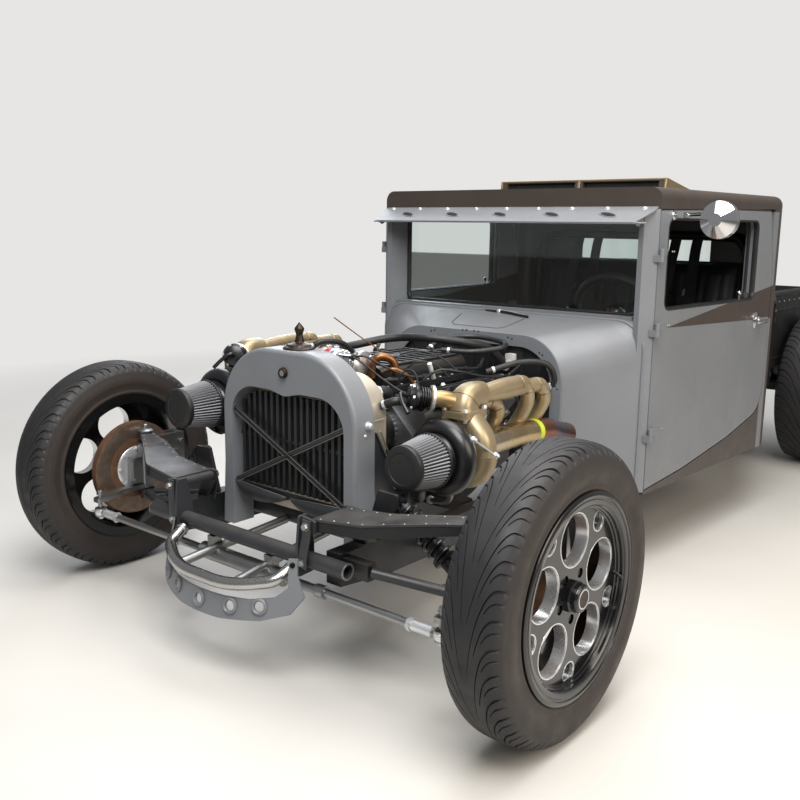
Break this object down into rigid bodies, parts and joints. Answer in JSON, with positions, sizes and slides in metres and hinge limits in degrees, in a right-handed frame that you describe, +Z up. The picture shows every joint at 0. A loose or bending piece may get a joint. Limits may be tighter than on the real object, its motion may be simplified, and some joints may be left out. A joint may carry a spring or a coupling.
{
  "type": "street rod pickup",
  "caption": "Closed-cab street rod pickup with an open engine, open front suspension, wide rear tyres, turning wheels, steering, doors and tailgate.",
  "frame": {"origin": "on the ground under the middle of the vehicle's footprint", "axes": "+X to the car's left, +Y to its rear, +Z up"},
  "size_m": [1.918, 3.984, 1.382],
  "materials": {
    "body_paint": "satin",
    "dark_paint": "satin",
    "black_metal": "satin",
    "steel": "satin",
    "chrome": "polished",
    "aluminium": "satin",
    "iron": "matte",
    "gold_metal": "satin",
    "wheel_black": "gloss",
    "tyre": "matte",
    "filter": "matte",
    "glass": "gloss",
    "leather": "matte",
    "bed_wood": "matte",
    "plastic": "matte",
    "lamp_red": "gloss"
  },
  "bodies": {
    "root": {"air_filters": "filter", "bed_floor": "bed_wood", "bed_sides": "dark_paint", "bumper_tube": "chrome", "cab_back": "body_paint", "chin_panel": "body_paint", "coil_overs": "black_metal", "cowl": "body_paint", "cross_members": "black_metal", "cylinder_heads": "aluminium", "dashboard": "plastic", "downpipes": "steel", "engine_block": "iron", "exhaust_manifolds": "gold_metal", "firewall": "black_metal", "floor_pan": "dark_paint", "frame_rails": "black_metal", "front_arms": "black_metal", "front_cross_member": "black_metal", "front_drive": "aluminium", "gearbox": "aluminium", "glass": "glass", "grille": "black_metal", "intake": "aluminium", "radiator": "aluminium", "radiator_cap": "chrome", "radiator_shell": "body_paint", "rear_axle": "black_metal", "rear_springs": "black_metal", "roof": "dark_paint", "seat": "leather", "shell_stays": "black_metal", "sills": "dark_paint", "steering_rack": "aluminium", "tail_lamps": "lamp_red", "turbochargers": "black_metal", "visor": "body_paint", "windshield_frame": "body_paint"},
    "knuckle_left": {"knuckle_left": "steel"},
    "knuckle_right": {"knuckle_right": "steel"},
    "wheel_front_left": {"front_tyre_left": "tyre", "front_rim_left": "wheel_black", "brake_disc_left": "iron"},
    "wheel_front_right": {"front_tyre_right": "tyre", "front_rim_right": "wheel_black", "brake_disc_right": "iron"},
    "wheel_rear_left": {"rear_tyre_left": "tyre", "rear_rim_left": "wheel_black"},
    "wheel_rear_right": {"rear_tyre_right": "tyre", "rear_rim_right": "wheel_black"},
    "steering_link": {"tie_rods": "steel"},
    "steering_wheel": {"steering_wheel": "plastic"},
    "door_left": {"door_left": "body_paint", "mirror": "chrome"},
    "door_right": {"door_right": "body_paint"},
    "tailgate": {"tailgate": "dark_paint"}
  },
  "joints": [
    {"name": "steer_left", "type": "hinge", "parent": "root", "child": "knuckle_left", "pos_m": [0.738, -1.613, 0.37], "axis": [0, 0, 1], "range_deg": [-30, 30]},
    {"name": "steer_right", "type": "hinge", "parent": "root", "child": "knuckle_right", "pos_m": [-0.738, -1.613, 0.37], "axis": [0, 0, 1], "range_deg": [-30, 30]},
    {"name": "rack_slide", "type": "slide", "parent": "root", "child": "steering_link", "axis": [1, 0, 0], "range_m": [-0.106, 0.106]},
    {"name": "steering_wheel_turn", "type": "hinge", "parent": "root", "child": "steering_wheel", "pos_m": [0.3, -0.243, 0.846], "axis": [0, 0.9026, 0.4305], "range_deg": [-360, 360]},
    {"name": "spin_front_left", "type": "hinge", "parent": "knuckle_left", "child": "wheel_front_left", "pos_m": [0.877, -1.633, 0.359], "axis": [1, 0, 0], "continuous": true},
    {"name": "spin_front_right", "type": "hinge", "parent": "knuckle_right", "child": "wheel_front_right", "pos_m": [-0.877, -1.633, 0.359], "axis": [1, 0, 0], "continuous": true},
    {"name": "spin_rear_left", "type": "hinge", "parent": "root", "child": "wheel_rear_left", "pos_m": [0.652, 1.607, 0.385], "axis": [1, 0, 0], "continuous": true},
    {"name": "spin_rear_right", "type": "hinge", "parent": "root", "child": "wheel_rear_right", "pos_m": [-0.652, 1.607, 0.385], "axis": [1, 0, 0], "continuous": true},
    {"name": "door_left_open", "type": "hinge", "parent": "root", "child": "door_left", "pos_m": [0.603, -0.52, 0.85], "axis": [0, 0, -1], "range_deg": [0, 60]},
    {"name": "door_right_open", "type": "hinge", "parent": "root", "child": "door_right", "pos_m": [-0.603, -0.52, 0.85], "axis": [0, 0, 1], "range_deg": [0, 60]},
    {"name": "tailgate_drop", "type": "hinge", "parent": "root", "child": "tailgate", "pos_m": [0, 1.886, 0.547], "axis": [-1, 0, 0], "range_deg": [0, 90]}
  ],
  "couplings": [
    {"joint": "steer_right", "follows": "steer_left", "ratio": 1},
    {"joint": "rack_slide", "follows": "steer_left", "m_per_rad": 0.2005},
    {"joint": "steering_wheel_turn", "follows": "steer_left", "ratio": 12}
  ]
}
